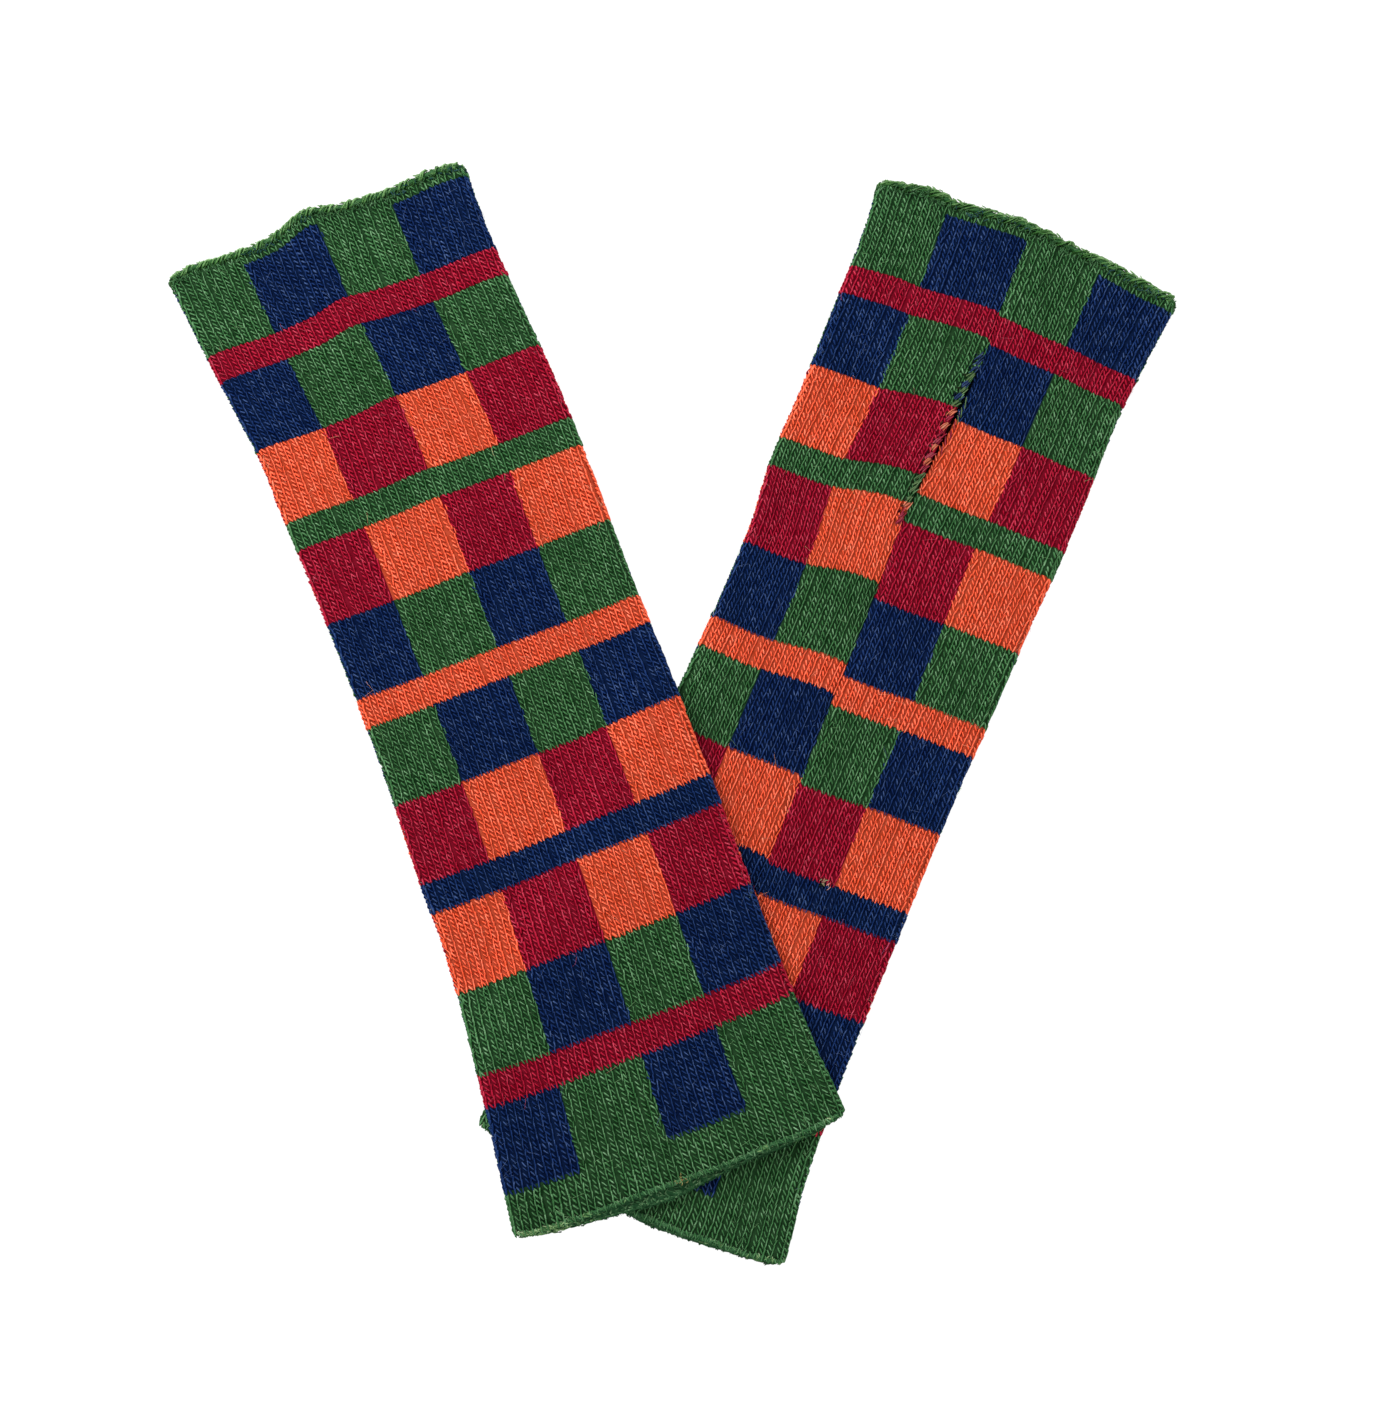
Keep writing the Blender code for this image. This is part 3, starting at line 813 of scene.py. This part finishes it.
def addChain(warmer):
    own, draw = chainEdge[warmer["name"]], np.random.default_rng(warmer["seed"] + 1)
    count, made, picks = chainEdge["strands"], [], []
    lumpPhase = draw.uniform(*anyPhase, len(own["lumps"]))
    edge = unevenEdge(draw, own["uneven"], chainEdge["waves"])

    def edgeCourse(wale):
        drop, reach = chainEdge["corner"]
        return chainEdge["course"] + edge(wale) - drop * np.exp(-(fromFolds(wale) / reach) ** 2)

    def proudAt(wale):
        around = 2 * np.pi * wale / cloth["wales"]
        lumps = sum(size * np.sin(waves * around + phase)
                    for (waves, size), phase in zip(own["lumps"], lumpPhase))
        return lumps * (1 - atFolds(wale))

    for turns, shift in ((chainEdge["outer"], 0.0), (chainEdge["inner"], 0.5)):
        wale = (np.arange(count) + shift) * cloth["wales"] / count
        wale += draw.normal(0, chainEdge["jitter"], count)
        corner = atFolds(wale + own["advance"] / 2)
        proud = proudAt(wale) + draw.normal(0, chainEdge["proudJitter"], count)
        width = own["width"] * (1 + draw.normal(0, chainEdge["widthJitter"], count))
        advance = own["advance"] * (1 + draw.normal(0, chainEdge["advanceJitter"], count))
        reach = [(x * (1 - chainEdge["flatCorner"] * corner) + proud)[:, None]
                 for x in chainEdge["reach"]]
        made.append(windStrands(warmer, spindle(sides=4, rings=6), wale,
                                edgeCourse(wale + own["advance"] / 2), reach, turns,
                                advance[:, None], width, chainEdge["depth"],
                                draw.uniform(*own["lots"], count)))
        picks.append(np.zeros(count))
    wale = draw.uniform(0, cloth["wales"], chainEdge["wisps"]["count"])
    made.append(windWisps(warmer, draw, chainEdge["wisps"], wale, edgeCourse,
                          proudAt(wale - own["advance"] / 2)))
    picks.append(np.zeros(len(wale)))
    # on the chain the core is wool in the foot's painted shade, which darkens the gaps
    made.append(layCore(warmer, edgeCourse, chainEdge["core"]))
    picks.append(np.ones(cloth["wales"]))
    foot = chainEdge["foot"]
    count = foot["count"]
    middle = np.stack([draw.uniform(0, cloth["wales"], count),
                       draw.uniform(*foot["courses"], count)], -1)
    angle = draw.normal(np.pi / 2, foot["turn"], count)
    half = runAt(angle, draw.uniform(*foot["lengths"], count) / 2)
    made.append(layStrands(warmer, spindle(sides=3, rings=2), middle - half, middle + half,
                           foot["lifts"], draw.uniform(*foot["widths"], count), foot["depth"],
                           lot=draw.uniform(0, 1, count)))
    below = chartColours(middle[:, 0], np.full(count, cloth["courses"] - chart["top"] - 1))
    tinted = draw.random(count) < foot["below"]
    picks.append(2 + np.where(tinted, below, colourNames.index("green")))
    piece = joinStrands(warmer, "linkedChain", made,
                        [looseEdgeWool, footWool["green"], *footWool.values()], picks)
    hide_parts(warmer["name"] + "_chain")
    return piece


def addHem(warmer):
    draw = np.random.default_rng(warmer["seed"] + 2)
    own = hemEdge[warmer["name"]]
    edge = unevenEdge(draw, own["uneven"], hemEdge["waves"])
    wisps = dict(hemEdge["wisps"], lean=own["lean"])

    def edgeCourse(wale):
        return hemEdge["course"] - edge(wale)

    wale = draw.uniform(0, cloth["wales"], wisps["count"])
    made = [windWisps(warmer, draw, wisps, wale, edgeCourse),
            layCore(warmer, edgeCourse, hemEdge["core"])]
    # near the folds more of the felt is the copy in painted light
    picks = [draw.random(len(at)) < litFeltShare(warmer, at)
             for at in (wale, np.arange(cloth["wales"]) + 0.5)]
    piece = joinStrands(warmer, "castOnEdge", made, [feltedWool, litFelt], picks)
    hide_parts(warmer["name"] + "_hem_cord")
    return piece


# the inside, the slit's lips and loose fibres

inside = {
    "perCell": 3, "lengths": (1.0, 2.2), "turn": 0.9, "widths": (0.45, 0.85), "depth": 0.6,
    "lifts": (-0.72, -1.0, -0.74), "uneven": 0.12, "bow": 0.2,
    "fromSeam": 0.05, "fromHem": 0.4, "pastTop": 0.6,
    "hemRows": 7, "looseRows": 4, "topRows": 4, "slitRows": (131, 178), "slitWales": (37, 47),
}
insideWool = [*lambswool.values(), *darkWool.values(), feltedWool, litFelt]


def addInside(warmer):
    # felted purl loops on the wall's inner face, where the ends and the slit show it
    draw = np.random.default_rng(warmer["seed"] + 3)
    topRow = cloth["courses"] - inside["topRows"]
    courses = np.r_[0:inside["hemRows"], topRow:cloth["courses"]]
    cells = [everyPair(np.arange(cloth["wales"]), courses)]
    if warmer["seamUp"]:
        cells.append(everyPair(np.arange(*inside["slitWales"]), np.arange(*inside["slitRows"])))
    wale, course = np.repeat(np.concatenate(cells, axis=1), inside["perCell"], axis=1)
    numbers = chartColours(wale + 0.5, course + 0.5)
    deep = (course > inside["hemRows"]) & (course < topRow)
    numbers = np.where(deep, numbers + len(colourNames), numbers)
    numbers = np.where(course < inside["looseRows"], 2 * len(colourNames), numbers)
    count = len(wale)
    middle = np.stack([wale, course], -1) + draw.uniform(0, 1, (count, 2))
    angle = draw.normal(0, inside["turn"], count)
    half = runAt(angle, draw.uniform(*inside["lengths"], count) / 2)
    lowest = (inside["fromSeam"], inside["fromHem"])
    highest = (cloth["wales"] - inside["fromSeam"], cloth["courses"] + inside["pastTop"])
    start, stop = (np.clip(middle + way * half, lowest, highest) for way in (-1, 1))
    extra = draw.normal(0, inside["uneven"], count)
    width, lot = draw.uniform(*inside["widths"], count), draw.uniform(0, 1, count)
    bow = draw.normal(0, inside["bow"], count)
    # near the folds some of the loose rows' felt is the copy in painted light
    lit = draw.random(count) < litFeltShare(warmer, middle[:, 0])
    numbers = numbers + lit * (course < inside["looseRows"])
    loops = layStrands(warmer, spindle(sides=4, rings=2), start, stop,
                       [x + extra for x in inside["lifts"]], width, inside["depth"], bow, lot)
    return joinStrands(warmer, "purlInside", [loops], insideWool, [numbers])


# Leaf-shaped loops in the yarn carried up the selvedge, each outlined by paler strands.
# # A strand is a start and a stop, in wales from the slit's edge into the cloth and in
# # courses from its loop, then its width and its shade. Rubbed loops are duller. A leaf's
# # body is painted darker as shade, and an eyelet is a dark strand that paints the shade
# # in its hole.
lips = {
    "left": {"rows": (134, 172), "strands": (
        ((0.70, -0.62), (0.14, 0.84), 1.10, "leaf"), ((0.84, -0.75), (0.34, 0.85), 0.40, "line"),
        ((0.30, -0.85), (-0.14, 0.75), 0.40, "line"),
        ((1.10, -0.36), (1.00, 0.36), 0.62, "eyelet"))},
    "right": {"rows": (153.5, 164.5), "strands": (((0.50, -1.0), (0.02, 0.9), 0.40, "line"),)},
    "pitch": 1.65, "jitter": 0.20, "widthJitter": 0.15, "bow": 0.12, "lots": (0.2, 1.0),
    "own": 0.45, "depth": 0.5, "lifts": (0.50, 0.88, 0.60), "proudLine": 0.12,
    "shades": {"leaf": 0.60, "line": 0.95, "eyelet": 0.10},
    "colours": {
        "green": ("#14240f", "#3c5a34", "#647f55", "#9db38c"),
        "navy": ("#04091f", "#15244a", "#33466e", "#6f809f"),
        "orange": ("#6a2010", "#bd5a3c", "#d98064", "#e9b09c"),
        "crimson": ("#3c0410", "#7c1428", "#a83a4c", "#c87f88"),
    },
}


def addLips(warmer):
    # overcast loops on the thumb slit's lips
    draw, made, picks = np.random.default_rng(warmer["seed"] + 4), [], []
    materials = [makeYarn(k + " rubbed lambswool, loop " + name, lips["colours"][k], shade)
                 for name, shade in lips["shades"].items() for k in colourNames]
    for name, edge, inward in (("left", cloth["wales"], -1), ("right", 0, 1)):
        lip = lips[name]
        at = np.arange(*lip["rows"], lips["pitch"])
        count = len(at)
        at = at + draw.normal(0, lips["jitter"], count)
        # a loop is in its course's yarn, or in the one that waits while its partner knits
        wale = edge + inward * 0.5
        numbers = np.where(draw.random(count) < lips["own"], chartColours(wale, at),
                           chartColours(wale + chart["columns"][0], at))
        for *ends, width, shade in lip["strands"]:
            start, stop = (
                np.stack([edge + inward * (over + draw.normal(0, lips["jitter"] / 2, count)),
                          at + up + draw.normal(0, lips["jitter"], count)], -1)
                for over, up in ends)
            width = width * (1 + draw.normal(0, lips["widthJitter"], count))
            lot, bow = draw.uniform(*lips["lots"], count), draw.normal(0, lips["bow"], count)
            raised = [x + lips["proudLine"] * (shade == "line") for x in lips["lifts"]]
            made.append(layStrands(warmer, spindle(sides=5, rings=4), start, stop, raised, width,
                                   lips["depth"], bow, lot))
            picks.append(numbers + len(colourNames) * list(lips["shades"]).index(shade))
    return joinStrands(warmer, "slitLoops", made, materials, picks)


# A lambswool fibre is 0.02 mm thick. It is drawn 0.055 mm thick, so that it shows. Each
# kind is a count, its lengths and how far it stands off the stitches, in millimetres. Half
# of the fibres lie down again at their tips.
fibre = {
    "kinds": ((1800, (0.6, 1.5), (0.9, 1.2)), (800, (1.6, 5.0), (1.0, 1.6))),
    "width": 0.055, "bow": 0.16, "atFolds": 0.25, "root": 0.75, "downTip": 0.8, "upTip": 0.2,
    "fromHem": 0.5, "pastTop": (2, 2.5), "roughness": 0.8, "shine": 0.1,
    "colours": {"green": "#86b57c", "navy": "#5f749f", "orange": "#ffb18e", "crimson": "#c65a6c"},
}


def makeFibre(name, colour):
    return newMaterial(name, {"Base Color": toLinear(colour), "Roughness": fibre["roughness"],
                              "Specular IOR Level": fibre["shine"]})


# Single fibres stand clear of the twist, so they look paler than the yarn they come from.
looseWool = [makeFibre(k + " loose fibre", v) for k, v in fibre["colours"].items()]


def addFibres(warmer):
    draw = np.random.default_rng(warmer["seed"] + 5)
    half, bend = cloth["halfFace"], cloth["bend"]
    made, picks = [], []
    for count, lengths, heights in fibre["kinds"]:
        wale = draw.uniform(0, cloth["wales"], count)
        folds = int(count * fibre["atFolds"])
        wale[:folds] = np.where(draw.random(folds) < 0.5, half, 3 * half + bend) + draw.uniform(
            0, bend, folds)
        course = draw.uniform(fibre["fromHem"], cloth["courses"] + fibre["pastTop"][0], count)
        angle = draw.uniform(0, 2 * np.pi, count)
        length = draw.uniform(*lengths, count)
        start = np.stack([wale, course], -1)
        highest = (cloth["wales"], cloth["courses"] + fibre["pastTop"][1])
        stop = np.clip(start + runAt(angle, length), (0, fibre["fromHem"]), highest)
        rise = draw.uniform(*heights, count)
        tip = np.where(draw.random(count) < 0.5, fibre["downTip"], rise + fibre["upTip"])
        made.append(layStrands(warmer, spindle(sides=3, rings=2), start, stop,
                               (fibre["root"], rise, tip), fibre["width"], fibre["width"],
                               draw.normal(0, fibre["bow"], count) * length))
        picks.append(chartColours(wale, course))
    return joinStrands(warmer, "looseFibres", made, looseWool, picks)


# Caught fluff and a darned yarn end: the colour, the place in wales and courses, how many
# strands, and how far they spread, how long and thick they are and how high they rise, in
# millimetres. Their ends dip below that.
caught = {
    "lower": (("darned yarn end", "#0c1410", (8.3, 68.0), 7, 0.35, (0.8, 1.4), 0.50, 1.1),
              ("olive yarn end", "#8d9a72", (8.3, 68.1), 7, 0.60, (0.7, 1.5), 0.20, 1.3),
              ("pink yarn end", "#cf9a8c", (9.1, 67.9), 3, 0.45, (0.9, 1.8), 0.18, 1.3),
              ("crimson loose fibre", "#a83a4c", (8.8, 68.0), 4, 0.9, (1.4, 3.0), 0.10, 1.4)),
    "upper": (("tan fluff", "#8a8250", (42.0, 0.8), 12, 0.6, (0.4, 1.0), 0.20, 0.85),
              ("rust fluff", "#96684a", (42.3, 0.9), 4, 0.5, (0.4, 0.9), 0.16, 0.90)),
    "dip": 0.3, "bow": 0.3,
}


def addCaught(warmer):
    draw, made, picks, materials = np.random.default_rng(warmer["seed"] + 6), [], [], []
    for name, colour, centre, count, spread, lengths, width, rise in caught[warmer["name"]]:
        angle = draw.uniform(0, 2 * np.pi, count)
        length = draw.uniform(*lengths, count) / 2
        middle = np.array(centre) + draw.normal(0, spread, (count, 2)) / netSize
        half = runAt(angle, length)
        low = rise - caught["dip"]
        made.append(layStrands(warmer, spindle(sides=4, rings=4), middle - half, middle + half,
                               (low, rise, low), width, width,
                               draw.normal(0, caught["bow"], count) * length))
        picks.append(np.full(count, len(materials)))
        materials.append(makeFibre(name, colour))
    return joinStrands(warmer, "caughtFluff", made, materials, picks)


for warmer in (lower, upper):
    made = [addBacking(warmer), *addStitches(warmer), addChain(warmer), addHem(warmer),
            addInside(warmer), addFibres(warmer), addCaught(warmer)]
    if warmer["seamUp"]:
        made.append(addLips(warmer))
    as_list(made[1:])
print("cloth, stitches and edges are made")
